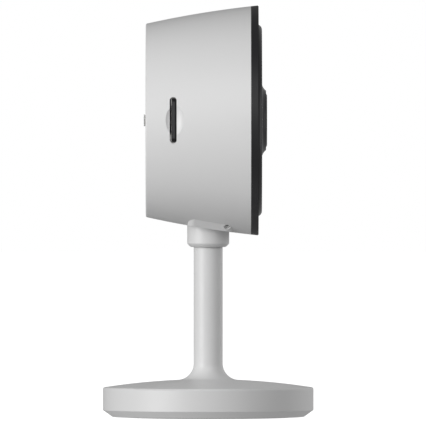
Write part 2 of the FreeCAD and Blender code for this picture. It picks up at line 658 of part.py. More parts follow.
def front_bezel():
    """Dark ring that carries the window, with a spigot and snap ridges."""
    tip = inner_radius(SPIGOT_END) - BEZEL_SPIGOT_TAPER
    seat = WINDOW_RADIUS + FIT
    e = 0.25
    shell = turned([
        (SPLIT, head_radius(SPLIT)), (-HEAD_FRONT + e, head_radius(-HEAD_FRONT + e)),
        (-HEAD_FRONT, head_radius(-HEAD_FRONT) - e), (-HEAD_FRONT, seat),
        (WINDOW_BACK + ADHESIVE_THICKNESS, seat),
        (WINDOW_BACK + ADHESIVE_THICKNESS, WINDOW_RADIUS - 2.6),
        (WINDOW_BACK + ADHESIVE_THICKNESS + 1.0, WINDOW_RADIUS - 2.6),
        (SPLIT - 0.4, SPIGOT_BORE), (SPIGOT_END, SPIGOT_BORE), (SPIGOT_END, tip),
        (SPIGOT_END - 0.3, tip + 0.15), (SPLIT, inner_radius(SPLIT) - FIT),
    ], on_lens)
    ridge_base = inner_radius(SPLIT + 2) - 0.7
    ridge = turned([
        (SPLIT + 2.0, ridge_base), (SPLIT + 2.0, ridge_base + 0.7 + SNAP_HEIGHT - GAP),
        (SPLIT + 2.9, ridge_base + 0.7), (SPLIT + 2.9, ridge_base),
    ], on_lens)
    bars = group(lens_block((-2.5, 2.5), (SPLIT, 0), (20, 40))
                 .rotate(V(0, 0, LENS_Z), BACK, 60 * i) for i in range(6))
    return fused(shell, ridge.common(bars))


def window_adhesive():
    """Thin ring of bonding tape behind the window."""
    return ring(WINDOW_RADIUS - 0.2, WINDOW_RADIUS - 2.5, WINDOW_BACK,
                WINDOW_BACK + ADHESIVE_THICKNESS)


def front_window():
    """Smoked disc with a raised, flared boss round the lens."""
    bore = LENS_RING_RADIUS + FIT
    flare = LENS_BOSS_FOOT - LENS_BOSS_RADIUS
    disc_part = turned([
        (WINDOW_BACK, bore), (WINDOW_BACK, WINDOW_RADIUS), (-HEAD_FRONT, WINDOW_RADIUS),
        (WINDOW_FACE + WINDOW_PROUD * 0.2, WINDOW_RADIUS - WINDOW_EDGE_IN * 0.38, "arc"),
        (WINDOW_FACE, WINDOW_RADIUS - WINDOW_EDGE_IN), (WINDOW_FACE, LENS_BOSS_FOOT),
        (WINDOW_FACE - LENS_BOSS_PROUD * 0.3, LENS_BOSS_FOOT - flare * 0.55, "arc"),
        (BOSS_FACE + 0.25, LENS_BOSS_RADIUS + 0.12),
        (BOSS_FACE + 0.05, LENS_BOSS_RADIUS - 0.04, "arc"),
        (BOSS_FACE, LENS_BOSS_RADIUS - 0.2), (BOSS_FACE, bore),
    ], on_lens)
    return disc_part.cut(disc(0.5, WINDOW_FACE - 1, WINDOW_BACK + 1, 0, MIC_DZ))


def lens_ring():
    """Dark trim ring that holds the clear cover in front of the lens."""
    r, face = LENS_RING_RADIUS, RING_FACE
    return turned([
        (WINDOW_BACK - 0.8, r), (BOSS_FACE, r), (face + 0.1, r - 0.45), (face, r - 0.65),
        (face, r - 1.05), (face + 0.8, LENS_COVER_RADIUS - 1.0),
        (LENS_COVER_FRONT, LENS_COVER_RADIUS - 1.0), (LENS_COVER_FRONT, LENS_COVER_RADIUS + FIT),
        (WINDOW_BACK - 0.8, LENS_COVER_RADIUS + FIT),
    ], on_lens)


def lens_cover():
    return disc(LENS_COVER_RADIUS, LENS_COVER_FRONT, LENS_COVER_FRONT + 0.8)


# ---- Lens module -------------------------------------------------------------------------

LED_BOARD_FRONT = FRAME_FRONT - GAP - THIN_BOARD
BARREL_FRONT = WINDOW_BACK - 1.1
HOLDER_FRONT = -4.5
HOLDER_BACK = 1.0
HOLDER_HALF_WIDTH = 11.5
HOLDER_HALF_HEIGHT = 8.0
HOLDER_TUBE_FRONT = -9.0
SENSOR_BOARD_BACK = HOLDER_BACK + THIN_BOARD
HOLDER_SCREWS = ((-10.7, 6.4), (10.7, -6.4))
FILTER_FRONT = -3.0
FILTER_THICKNESS = 1.0
FILTER_HALF_HEIGHT = 4.5
FILTER_START = -3.5
FILTER_END = 9.5
GLASS_HALF_WIDTH = 2.55
GLASS_HALF_HEIGHT = 3.45
GLASS_SEAT = 0.5
BARREL_BACK = -3.6


def inner_frame():
    """Plate behind the bezel that carries the lens holder and the lamp board."""
    plate = ring(FRAME_RADIUS, LED_BOARD_BORE, FRAME_FRONT, FRAME_BACK)
    rim = ring(LED_BOARD_RADIUS + FRAME_RIM, LED_BOARD_RADIUS + GAP, LED_BOARD_FRONT + 0.2,
               FRAME_FRONT + 0.1)
    posts = [disc(1.8, FRAME_BACK - 0.2, HOLDER_FRONT, x, dz) for x, dz in HOLDER_SCREWS]
    holes = [disc(SCREW + SCREW_ROOM, FRAME_FRONT - 1, FRAME_BACK + 1, x, dz)
             for x, dz in FRAME_SCREWS]
    holes += [disc(0.65, FRAME_FRONT + 0.6, HOLDER_FRONT, x, dz) for x, dz in HOLDER_SCREWS]
    return fused(plate, rim, *posts).cut(group(holes))


def frame_screws():
    return group(screw((x, FRAME_FRONT, LENS_Z + dz), BACK, SCREW, SCREW_HEAD, 5.6, 1.0)
                 for x, dz in FRAME_SCREWS)


def lens_barrel():
    """Board lens body, wider at the front where the first element sits."""
    thread, bore = LENS_THREAD_RADIUS, 5.1
    return turned([
        (BARREL_FRONT, bore), (BARREL_FRONT, thread + 0.5), (BARREL_FRONT + 0.2, thread + 0.7),
        (HOLDER_TUBE_FRONT - 1.2, thread + 0.7), (HOLDER_TUBE_FRONT - 1.2, thread),
        (BARREL_BACK, thread), (BARREL_BACK, 4.0), (BARREL_BACK - 1.0, 4.0),
        (BARREL_BACK - 1.0, 4.4), (BARREL_FRONT + 2.6, 4.4), (BARREL_FRONT + 2.6, bore),
    ], on_lens)


def domed_glass(radius, front, back, bulge):
    """Glass element, a slice of a ball in front of a flat-backed edge."""
    ball_radius = (radius**2 + bulge**2) / (2 * bulge)
    ball = Part.makeSphere(ball_radius, on_lens(front - bulge + ball_radius, 0), BACK)
    cap = ball.common(disc(radius, front - bulge - 1, front + 0.1))
    return fused(cap, disc(radius, front, back))


def lens_front_element():
    return domed_glass(5.1 - FIT, BARREL_FRONT + 0.9, BARREL_FRONT + 2.6, 0.7)


def lens_rear_element():
    return domed_glass(4.4 - FIT, BARREL_BACK - 2.2, BARREL_BACK - 1.0, 0.5)


def lens_holder():
    """Moulded holder with the threaded tube and a cross slot for the filters."""
    body = lens_block((-HOLDER_HALF_WIDTH, HOLDER_HALF_WIDTH), (HOLDER_FRONT, HOLDER_BACK),
                      (-HOLDER_HALF_HEIGHT, HOLDER_HALF_HEIGHT))
    tube = disc(LENS_THREAD_RADIUS + 1.9, HOLDER_TUBE_FRONT, HOLDER_FRONT + 0.2)
    room = FILTER_TRAVEL + GAP
    cuts = [
        disc(LENS_THREAD_RADIUS + FIT, HOLDER_TUBE_FRONT - 1, FILTER_FRONT),
        lens_block((FILTER_START - room, FILTER_END + GAP),
                   (FILTER_FRONT - FIT, FILTER_FRONT + FILTER_THICKNESS + FIT),
                   (-FILTER_HALF_HEIGHT - FIT, FILTER_HALF_HEIGHT + FIT)),
        lens_block((-4.6, 4.6), (FILTER_FRONT, HOLDER_BACK + 1), (-4.2, 4.2)),
    ]
    cuts += [disc(0.9, HOLDER_FRONT - 1, HOLDER_BACK + 1, x, dz) for x, dz in HOLDER_SCREWS]
    return fused(body, tube).cut(group(cuts))


def holder_screws():
    """Long screws through the sensor board and holder into the inner frame."""
    return group(screw((x, SENSOR_BOARD_BACK, LENS_Z + dz), BACK * -1, 0.65, 1.35, 8.8, 0.9)
                 for x, dz in HOLDER_SCREWS)


def sensor_board():
    board = lens_block((-13, 13), (HOLDER_BACK, SENSOR_BOARD_BACK), (-9.0, 13.0))
    corners = [e for e in board.Edges if abs(e.Vertexes[0].Y - e.Vertexes[1].Y) > 0.5]
    board = board.makeFillet(1.5, corners)
    return board.cut(group(disc(0.9, 0, 3, x, dz) for x, dz in HOLDER_SCREWS))


def image_sensor():
    package = lens_block((-3.8, 3.8), (HOLDER_BACK - 0.8, HOLDER_BACK), (-3.2, 3.2))
    glass = lens_block((-3.2, 3.2), (HOLDER_BACK - 1.1, HOLDER_BACK - 0.8), (-2.7, 2.7))
    return fused(package, glass)


def filter_frame():
    """Carriage with two windows. It slides to put one filter or the other behind the lens."""
    back = FILTER_FRONT + FILTER_THICKNESS
    frame = lens_block((FILTER_START, FILTER_END), (FILTER_FRONT, back),
                       (-FILTER_HALF_HEIGHT, FILTER_HALF_HEIGHT))
    for x in (0, FILTER_TRAVEL):
        frame = frame.cut(lens_block((x - 2.1, x + 2.1), (FILTER_FRONT - 1, back + 1), (-3, 3)))
        frame = frame.cut(lens_block((x - GLASS_HALF_WIDTH - FIT, x + GLASS_HALF_WIDTH + FIT),
                                     (back - GLASS_SEAT, back + 1),
                                     (-GLASS_HALF_HEIGHT - FIT, GLASS_HALF_HEIGHT + FIT)))
    return frame


def filter_glass(x):
    """Glass plate that lies in the carriage's rebate, centred at x."""
    back = FILTER_FRONT + FILTER_THICKNESS
    return lens_block((x - GLASS_HALF_WIDTH, x + GLASS_HALF_WIDTH),
                      (back - GLASS_SEAT, back - 0.1), (-GLASS_HALF_HEIGHT, GLASS_HALF_HEIGHT))


def infrared_filter():
    return filter_glass(0)


def clear_filter():
    return filter_glass(FILTER_TRAVEL)


def filter_actuator():
    """Small coil motor under the holder that shifts the filters."""
    top = -HOLDER_HALF_HEIGHT
    case = lens_block((-4.0, 4.0), (-4.0, 0.4), (top - 4.2, top))
    coil = Part.makeCylinder(1.7, 3.0, V(4.0, -1.8, LENS_Z + top - 2.1), SIDE)
    return fused(case, coil)


# ---- Lamp board behind the window --------------------------------------------------------

LED_CIRCLE = 17.8


def led_board():
    return ring(LED_BOARD_RADIUS, LED_BOARD_BORE, LED_BOARD_FRONT, LED_BOARD_FRONT + THIN_BOARD)


def ir_leds():
    """Infrared lamps in a ring, each a small case with a domed lens."""
    lamps = []
    for x, dz in around(8, LED_CIRCLE, 22.5):
        case = lens_block((x - 1.5, x + 1.5), (LED_BOARD_FRONT - 0.6, LED_BOARD_FRONT),
                          (dz - 1.5, dz + 1.5))
        dome = Part.makeSphere(1.25, V(x, LED_BOARD_FRONT - 0.5, LENS_Z + dz))
        front = disc(1.3, LED_BOARD_FRONT - 1.3, LED_BOARD_FRONT - 0.4, x, dz)
        lamps.append(fused(case, dome.common(front)))
    return group(lamps)


def board_part(x, dz, half_width, half_height, height):
    """Small component on the front of the lamp board."""
    return lens_block((x - half_width, x + half_width),
                      (LED_BOARD_FRONT - height, LED_BOARD_FRONT),
                      (dz - half_height, dz + half_height))


def status_led():
    return board_part(0, -13.5, 0.8, 0.5, 0.6)


def light_sensor():
    return board_part(0, 13.5, 1.0, 0.8, 0.7)


def microphone():
    return board_part(0, MIC_DZ, 1.9, 1.5, 1.0)


# ---- Main electronics --------------------------------------------------------------------

SOCKET_MOUTH = -(inner_radius(SLOT_SETBACK) - 1.3)
SOCKET_END = SOCKET_MOUTH + 14.0
CARD_BACK = SLOT_SETBACK + 0.42
CARD_OUTER = -(head_radius(SLOT_SETBACK) - 1.1)


def main_board():
    board = disc(MAIN_BOARD_RADIUS, MAIN_BOARD_FRONT, MAIN_BOARD_BACK)
    keep = lens_block((-40, 40), (0, 20), (-24.0, 40))
    holes = [disc(SCREW + SCREW_ROOM, 0, 20, x, dz) for x, dz in BOARD_POSTS]
    return board.common(keep).cut(group(holes))


def board_screws():
    return group(screw((x, MAIN_BOARD_FRONT, LENS_Z + dz), BACK, SCREW, SCREW_HEAD, 5.2, 1.0)
                 for x, dz in BOARD_POSTS)


def chip(x, dz, height):
    """Component on the front of the main board, from its (low, high) pairs."""
    return lens_block(x, (MAIN_BOARD_FRONT - height, MAIN_BOARD_FRONT), dz)


def processor():
    return chip((-6.5, 6.5), (-8.0, 5.0), 1.3)


def memory_chip():
    return chip((-17.0, -9.0), (-7.5, 3.5), 1.0)


def radio_shield():
    return chip((9.0, 20.0), (2.0, 13.0), 1.8)


def card_socket_base():
    """Plastic tray on the board, with rails beside the card and a stop behind it."""
    half = CARD_WIDTH / 2 + 0.1
    floor_back = CARD_BACK - CARD_LIP_THICKNESS - FIT
    floor = lens_block((SOCKET_MOUTH, SOCKET_END), (MAIN_BOARD_BACK, floor_back),
                       (-half - 0.9, half + 0.9))
    rails = [lens_block((SOCKET_MOUTH, SOCKET_END), (MAIN_BOARD_BACK, CARD_BACK),
                        sorted((s * half, s * (half + 0.9)))) for s in (-1, 1)]
    stop = lens_block((CARD_OUTER + CARD_LENGTH + 0.1, SOCKET_END), (MAIN_BOARD_BACK, CARD_BACK),
                      (-half, half))
    return fused(floor, stop, *rails)


def card_socket_shell():
    """Folded steel cover of the card socket, open in the middle, with flared entry lips."""
    half = CARD_WIDTH / 2 + 1.0
    low = CARD_BACK + FIT
    plate = lens_block((SOCKET_MOUTH, SOCKET_END), (low, low + 0.2), (-half - 0.25, half + 0.25))
    window = lens_block((SOCKET_MOUTH - 1, SOCKET_MOUTH + 7), (low - 1, low + 1), (-4.3, 4.3))
    sides = [lens_block((SOCKET_MOUTH, SOCKET_END), (MAIN_BOARD_BACK, low + 0.2),
                        sorted((s * (half + 0.05), s * (half + 0.25)))) for s in (-1, 1)]
    lip = lens_block((SOCKET_MOUTH - 0.25, SOCKET_MOUTH), (low, low + 0.55), (-half + 0.1, -4.3))
    return fused(plate.cut(window), lip, *sides)


def memory_card():
    """Standard micro memory card with its thumb lip, one corner cut away."""
    half = CARD_WIDTH / 2
    end = CARD_OUTER + CARD_LENGTH
    body = lens_block((CARD_OUTER, end), (CARD_BACK - CARD_THICKNESS, CARD_BACK), (-half, half))
    lip = lens_block((CARD_OUTER, CARD_OUTER + 1.0), (CARD_BACK - CARD_LIP_THICKNESS, CARD_BACK),
                     (-half, half))
    # The corner is narrowed by 1.3 mm along the last 6.4 mm, as on every such card.
    corner = [V(end + 1, 0, LENS_Z + half + 1), V(end - 6.4, 0, LENS_Z + half + 1),
              V(end - 6.4, 0, LENS_Z + half), V(end - 5.1, 0, LENS_Z + half - 1.3),
              V(end + 1, 0, LENS_Z + half - 1.3)]
    notch = Part.Face(Part.makePolygon(corner + corner[:1])).extrude(BACK * 20)
    return fused(body, lip).cut(notch)


def usb_board():
    board = lens_block((-10.6, 10.6), (USB_BOARD_BACK - THIN_BOARD, USB_BOARD_BACK), (-4.6, 4.6))
    holes = [disc(0.9, 0, 20, x, dz) for x, dz in USB_SCREWS]
    return board.cut(group(holes))


def usb_screws():
    return group(screw((x, USB_BOARD_BACK - THIN_BOARD, LENS_Z + dz), BACK, 0.7, 1.4, 2.8, 0.8)
                 for x, dz in USB_SCREWS)


def usb_tube(width, height, front, back, narrow):
    """Connector outline: flat top, and lower corners cut towards a narrower floor."""
    w, h = width / 2, height / 2
    points = [V(x, front, LENS_Z + z) for x, z in
              ((-w, h), (w, h), (w, -h * 0.1), (w - narrow, -h), (narrow - w, -h), (-w, -h * 0.1))]
    return Part.Face(Part.makePolygon(points + points[:1])).extrude(BACK * (back - front))


def usb_shell():
    """Steel shell of the power socket, its mouth flared above and below."""
    back = HEAD_REAR + USB_PROUD
    wall = 0.3
    tube = usb_tube(USB_WIDTH, USB_HEIGHT, USB_BOARD_BACK, back, 1.0)
    room = usb_tube(USB_WIDTH - 2 * wall, USB_HEIGHT - 2 * wall,
                    USB_BOARD_BACK + 0.5, back + 1, 0.9)
    lips = []
    for side in (-1, 1):
        half = USB_HEIGHT / 2
        tip = side * USB_LIP_HEIGHT / 2
        root = side * (half - wall)
        half_w = USB_WIDTH / 2 - (0.2 if side > 0 else 1.1)
        outline = [V(-half_w, y, LENS_Z + z) for y, z in
                   ((back - 0.7, root), (back, tip - side * wall), (back, tip),
                    (back - 0.25, tip), (back - 0.9, side * half))]
        lips.append(Part.Face(Part.makePolygon(outline + outline[:1])).extrude(SIDE * 2 * half_w))
    return fused(tube.cut(room), *lips)


def usb_tongue():
    return lens_block((-1.9, 1.9), (USB_BOARD_BACK + 0.5, HEAD_REAR - 0.4), (0.0, 0.55))


def u_ribbon(x, half_width, front, back, top, foot_front, foot_back):
    """Flat flexible cable that leaves one board and turns over to the next."""
    thick = 0.15

    def at(y, dz):
        return V(x - half_width, y, LENS_Z + dz)

    def arch(inset):
        return (back - front) / 2 - inset, at(front + inset, top), at(back - inset, top)

    r_out, a_out, b_out = arch(0)
    r_in, a_in, b_in = arch(thick)
    crown = at((front + back) / 2, top)
    foot_a = [at(front, foot_front), at(front + thick, foot_front)]
    foot_b = [at(back - thick, foot_back), at(back, foot_back)]
    edges = [
        Part.makeLine(foot_a[0], a_out), Part.Arc(a_out, crown + UP * r_out, b_out).toShape(),
        Part.makeLine(b_out, foot_b[1]), Part.makeLine(foot_b[1], foot_b[0]),
        Part.makeLine(foot_b[0], b_in), Part.Arc(b_in, crown + UP * r_in, a_in).toShape(),
        Part.makeLine(a_in, foot_a[1]), Part.makeLine(foot_a[1], foot_a[0]),
    ]
    return Part.Face(Part.Wire(edges)).extrude(SIDE * (2 * half_width))


def sensor_ribbon():
    return u_ribbon(0, 4.0, SENSOR_BOARD_BACK, MAIN_BOARD_FRONT, 14.0, 8.5, 8.5)


def usb_ribbon():
    return u_ribbon(0, 3.0, MAIN_BOARD_BACK, USB_BOARD_BACK - THIN_BOARD, 6.5, 3.0, 1.0)


def wifi_antenna():
    return lens_block((-ANTENNA_HALF_WIDTH, ANTENNA_HALF_WIDTH), (-0.5, ANTENNA_BACK),
                      (ANTENNA_DZ - 0.4, ANTENNA_DZ))


def antenna_cable():
    """Thin coaxial lead from the antenna down to the main board."""
    radius = 0.45
    depth = MAIN_BOARD_FRONT - radius - FIT
    start = LENS_Z + ANTENNA_DZ - 0.4 - radius - FIT
    path = [V(5.5, 2.5, start), V(9.0, 3.5, start - 1.4), V(11.6, 5.6, start - 5.0),
            V(12.0, depth, start - 8.6), V(12.0, depth, start - 12.0)]
    return bent_tube(path, radius)


def bent_tube(path, radius):
    """Round lead along straight runs joined by arcs as large as the runs allow."""
    edges = []
    at = path[0]
    for before, corner, after in zip(path, path[1:], path[2:]):
        into, out = (before - corner), (after - corner)
        angle = into.getAngle(out)
        reach = 0.45 * min(into.Length, out.Length)
        into.normalize()
        out.normalize()
        first, last = corner + into * reach, corner + out * reach
        bend = reach * math.tan(angle / 2)
        centre = corner + (into + out).normalize() * (bend / math.sin(angle / 2))
        middle = centre + (corner - centre).normalize() * bend
        edges.append(Part.LineSegment(at, first).toShape())
        edges.append(Part.Arc(first, middle, last).toShape())
        at = last
    edges.append(Part.LineSegment(at, path[-1]).toShape())
    section = Part.Wire(Part.makeCircle(radius, path[0], path[1] - path[0]))
    return Part.Wire(edges).makePipeShell([section], True, False)


# ---- Speaker and reset button ------------------------------------------------------------


def speaker_frame():
    """Round speaker basket with its magnet, pressed into the ring on the back wall."""
    r = SPEAKER_RADIUS
    back = BACK_INSIDE - 0.1
    basket = ring(r, r - 0.8, back - 2.4, back, 0, SPEAKER_DZ)
    floor = ring(r, 3.0, back - 3.0, back - 2.4, 0, SPEAKER_DZ)
    magnet = disc(4.6, back - 4.4, back - 3.0, 0, SPEAKER_DZ)
    return fused(basket, floor, magnet)


def speaker_cone():
    """Thin dished diaphragm facing the grille."""
    back = BACK_INSIDE - 0.1
    r = SPEAKER_RADIUS - 0.8 - FIT
    points = [(back - 0.5, 0), (back - 0.5, r), (back - 0.65, r), (back - 1.0, r * 0.8),
              (back - 1.9, r * 0.42), (back - 1.5, 0)]
    cone = turned(points, on_lens)
    dish = turned([(back - 0.4, 0), (back - 0.4, r * 0.96), (back - 0.5, r * 0.96),
                   (back - 0.85, r * 0.78), (back - 1.7, r * 0.40), (back - 1.2, 0)], on_lens)
    cone = cone.cut(dish)
    cone.translate(V(0, 0, SPEAKER_DZ))
    return cone


def reset_plunger():
    """Button stem, with a collar inside the switch that keeps it in."""
    stem = along_pinhole(PLUNGER_RADIUS, PLUNGER_START, RESET_SEAT - 0.3)
    collar = along_pinhole(1.0, RESET_SEAT - 0.65, RESET_SEAT - 0.3)
    return fused(stem, collar)


def reset_switch_body():
    """Small switch on its board, mouth towards the pinhole."""
    case = along_pinhole(SWITCH_RADIUS, RESET_SEAT - 1.0, RESET_SEAT)
    mouth = along_pinhole(PLUNGER_RADIUS + FIT, RESET_SEAT - 1.5, RESET_SEAT - 0.6)
    room = along_pinhole(1.05, RESET_SEAT - 0.7, RESET_SEAT)
    return case.cut(mouth).cut(room)


def across_pinhole(room, thickness):
    """Plate at the pinhole's inner end, as large as the reset board and the room round it."""
    mouth, inward = pinhole_line()
    plate = block((-3.0 - room, 3.2 + room), (-3.2 - room, 2.2 + room), (0, thickness))
    plate.Placement = FreeCAD.Placement(mouth + inward * RESET_SEAT, FreeCAD.Rotation(UP, inward))
    return plate


def reset_board():
    """Little board screwed across the pinhole's inner end."""
    return across_pinhole(0, THIN_BOARD)


# ---- Write every piece -------------------------------------------------------------------

PIECES = [
    stand_shell, pole_core, ballast_weight, ballast_screws, base_plate, base_screws, foot_ring,
    swivel_knuckle, tie_rod, pan_lock_nut, pan_spring_washer,
    neck_collar, neck_bracket, bracket_screws, hinge_pin,
    rear_housing, front_bezel, window_adhesive, front_window, lens_ring, lens_cover,
    inner_frame, frame_screws, lens_barrel, lens_front_element, lens_rear_element, lens_holder,
    holder_screws, sensor_board, image_sensor, filter_frame, infrared_filter, clear_filter,
    filter_actuator,
    led_board, ir_leds, status_led, light_sensor, microphone,
    main_board, board_screws, processor, memory_chip, radio_shield,
    card_socket_base, card_socket_shell, memory_card,
    usb_board, usb_screws, usb_shell, usb_tongue, usb_ribbon, sensor_ribbon,
    wifi_antenna, antenna_cable, speaker_frame, speaker_cone,
    reset_board, reset_switch_body, reset_plunger,
]

os.makedirs("parts", exist_ok=True)
for piece in PIECES:
    shape = piece()
    if not shape.isValid() or shape.Volume <= 0:
        print("not a sound solid:", piece.__name__, shape.ShapeType, shape.Volume)
    shape.exportStep(f"parts/{piece.__name__}.step")
print(len(PIECES), "pieces written")
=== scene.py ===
"""Looks for an indoor security camera on a weighted stand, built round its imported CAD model."""

import bmesh
import bpy
import math
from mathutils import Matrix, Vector


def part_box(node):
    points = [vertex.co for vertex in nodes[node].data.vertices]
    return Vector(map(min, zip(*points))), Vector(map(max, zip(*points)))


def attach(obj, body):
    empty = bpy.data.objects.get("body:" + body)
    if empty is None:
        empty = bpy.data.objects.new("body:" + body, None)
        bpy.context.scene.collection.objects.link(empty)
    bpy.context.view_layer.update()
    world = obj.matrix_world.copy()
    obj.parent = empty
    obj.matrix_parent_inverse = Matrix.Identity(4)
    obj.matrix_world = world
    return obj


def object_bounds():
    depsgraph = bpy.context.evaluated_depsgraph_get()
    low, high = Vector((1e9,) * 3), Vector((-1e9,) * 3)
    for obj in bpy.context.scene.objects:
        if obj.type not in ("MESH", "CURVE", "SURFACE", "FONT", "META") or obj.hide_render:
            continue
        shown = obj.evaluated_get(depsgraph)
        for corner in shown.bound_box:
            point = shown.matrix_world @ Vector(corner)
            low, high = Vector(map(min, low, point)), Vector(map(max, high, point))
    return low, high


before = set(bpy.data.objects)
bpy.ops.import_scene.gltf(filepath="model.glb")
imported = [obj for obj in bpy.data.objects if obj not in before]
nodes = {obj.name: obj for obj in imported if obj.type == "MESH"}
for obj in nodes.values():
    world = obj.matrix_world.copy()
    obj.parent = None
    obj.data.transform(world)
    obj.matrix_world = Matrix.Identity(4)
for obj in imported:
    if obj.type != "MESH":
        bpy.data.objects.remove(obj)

cad_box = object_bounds()
MM = 0.001

# ---- Stand shell, neck collar and rear housing -------------------------------------------
# The three light covers are injection-moulded ABS in a neutral white. The mould is
# spark-eroded, which leaves a very fine, even grain, and gives a soft satin sheen.


def linear(hex_colour):
    """sRGB hex colour to the linear values that a shader takes."""
    channels = [int(hex_colour[i:i + 2], 16) / 255 for i in (0, 2, 4)]
    return [c / 12.92 if c <= 0.04045 else ((c + 0.055) / 1.055) ** 2.4
            for c in channels] + [1.0]


def add(tree, kind, settings=None, **links):
    """Add a node. Settings name its properties or sockets, and links give sockets an output,
    by name, or by number as in _0 where two sockets share a name."""
    made = tree.nodes.new(kind)
    for name, value in (settings or {}).items():
        if name in made.inputs:
            made.inputs[name].default_value = value
        else:
            setattr(made, name, value)
    for name, output in links.items():
        key = int(name[1:]) if name[1:].isdigit() else name.replace("_", " ")
        tree.links.new(output, made.inputs[key])
    return made


def material(name, colour, **settings):
    """A principled material with its tree, its shader and its object coordinates."""
    made = bpy.data.materials.new(name)
    made.use_nodes = True
    tree = made.node_tree
    shader = tree.nodes["Principled BSDF"]
    shader.inputs["Base Color"].default_value = linear(colour)
    for key, value in settings.items():
        shader.inputs[key.replace("_", " ")].default_value = value
    made.diffuse_color = linear(colour)
    return made, tree, shader, add(tree, "ShaderNodeTexCoord").outputs["Object"]


def roughen(tree, shader, where, size_mm, low, high, stretch=(1, 1, 1)):
    """Let roughness wander between two values over patches of a real size."""
    mapped = add(tree, "ShaderNodeMapping", {"Scale": stretch}, Vector=where)
    noise = add(tree, "ShaderNodeTexNoise", {"Scale": 1 / (size_mm * MM), "Detail": 3.0},
                Vector=mapped.outputs["Vector"])
    spread = add(tree, "ShaderNodeMapRange", {"From Min": 0.3, "From Max": 0.7, "To Min": low,
                 "To Max": high}, Value=noise.outputs["Fac"])
    tree.links.new(spread.outputs["Result"], shader.inputs["Roughness"])


def grain(tree, shader, where, size_mm, depth_mm, strength=1.0, stretch=(1, 1, 1)):
    """Raise a fine even grain of a real size and depth on the surface."""
    mapped = add(tree, "ShaderNodeMapping", {"Scale": stretch}, Vector=where)
    noise = add(tree, "ShaderNodeTexNoise", {"Scale": 1 / (size_mm * MM), "Detail": 2.0,
                "Roughness": 0.6}, Vector=mapped.outputs["Vector"])
    bump = add(tree, "ShaderNodeBump", {"Strength": strength, "Distance": depth_mm * MM},
               Height=noise.outputs["Fac"])
    tree.links.new(bump.outputs["Normal"], shader.inputs["Normal"])


def tint(tree, shader, where, size_mm, colours, stretch=(1, 1, 1)):
    """Let the colour wander gently between two close shades."""
    mapped = add(tree, "ShaderNodeMapping", {"Scale": stretch}, Vector=where)
    noise = add(tree, "ShaderNodeTexNoise", {"Scale": 1 / (size_mm * MM), "Detail": 2.0},
                Vector=mapped.outputs["Vector"])
    mix = add(tree, "ShaderNodeMix", {"data_type": "RGBA"}, Factor=noise.outputs["Fac"])
    # A colour mix has its two colours at inputs 6 and 7 and its result at output 2.
    mix.inputs[6].default_value, mix.inputs[7].default_value = (linear(c) for c in colours)
    tree.links.new(mix.outputs[2], shader.inputs["Base Color"])


def finish(made, *names):
    """Give CAD nodes or new pieces this material on every slot."""
    for name in names:
        piece = nodes[name] if isinstance(name, str) else name
        piece.data.materials.clear()
        piece.data.materials.append(made)


CRISP_EDGE = 30                        # degrees; an edge that turns more stays sharp


def smooth(piece, degrees=CRISP_EDGE):
    """Shade a mesh smooth, with its real edges kept sharp."""
    for polygon in piece.data.polygons:
        polygon.use_smooth = True
    with bpy.context.temp_override(object=piece, active_object=piece,
                                   selected_objects=[piece],
                                   selected_editable_objects=[piece]):
        bpy.ops.object.shade_smooth_by_angle(angle=math.radians(degrees))


# Spark-eroded ABS: the grain is about 0.12 mm across and a few microns deep, drawn a little
# coarser here so that it shows as a soft, powdery sheen and not as a mirror.
white_abs, tree, shader, where = material("moulded_abs_white_satin", "DEDEDE", IOR=1.53)
roughen(tree, shader, where, 9.0, 0.38, 0.47)
grain(tree, shader, where, 0.22, 0.006, 0.5)
tint(tree, shader, where, 25.0, ("DDDDDD", "DFDFDF"))
finish(white_abs, "stand_shell", "neck_collar", "rear_housing")

# ---- Front bezel -------------------------------------------------------------------------
# A separate ring of charcoal ABS that snaps into the housing and frames the window. It has
# the same spark-eroded grain as the covers, only darker, so its edges catch a thin light.

charcoal_abs, tree, shader, where = material("moulded_abs_charcoal_satin", "1E1E20",
                                             IOR=1.53, Specular_IOR_Level=0.32)
roughen(tree, shader, where, 7.0, 0.42, 0.5)
grain(tree, shader, where, 0.22, 0.006, 0.5)
finish(charcoal_abs, "front_bezel")

# ---- Front window and its bonding tape ---------------------------------------------------
# The window is injection-moulded smoked acrylic, polished in the mould, dark enough to hide
# the lamps but clear to infrared. A ring of black foam tape bonds it into the bezel.

# Polished acrylic: dark and glossy, its reflections softened by slight waves.
smoked_acrylic, tree, shader, where = material("polished_acrylic_smoked", "333335", IOR=1.49)
roughen(tree, shader, where, 12.0, 0.16, 0.24)
grain(tree, shader, where, 6.0, 0.010, 0.15)
finish(smoked_acrylic, "front_window")

# Foam tape: dead matt and pitted.
foam_tape, tree, shader, where = material("foam_tape_black", "0C0C0C", Roughness=0.9)
grain(tree, shader, where, 0.15, 0.03, 0.8)
finish(foam_tape, "window_adhesive")

# ---- Lens ring, cover glass, barrel and lens elements ------------------------------------
# The ring and the barrel are black aluminium, one anodised and one turned, and the glass
# elements carry a thin coating that shows as a faint colour in the lens.

# Anodised aluminium, dyed black: the thin oxide reads as satin black, not as bare metal.
satin_black, tree, shader, where = material("anodised_trim_black", "151516")
roughen(tree, shader, where, 3.0, 0.24, 0.34)
grain(tree, shader, where, 0.1, 0.003, 0.4)
finish(satin_black, "lens_ring")

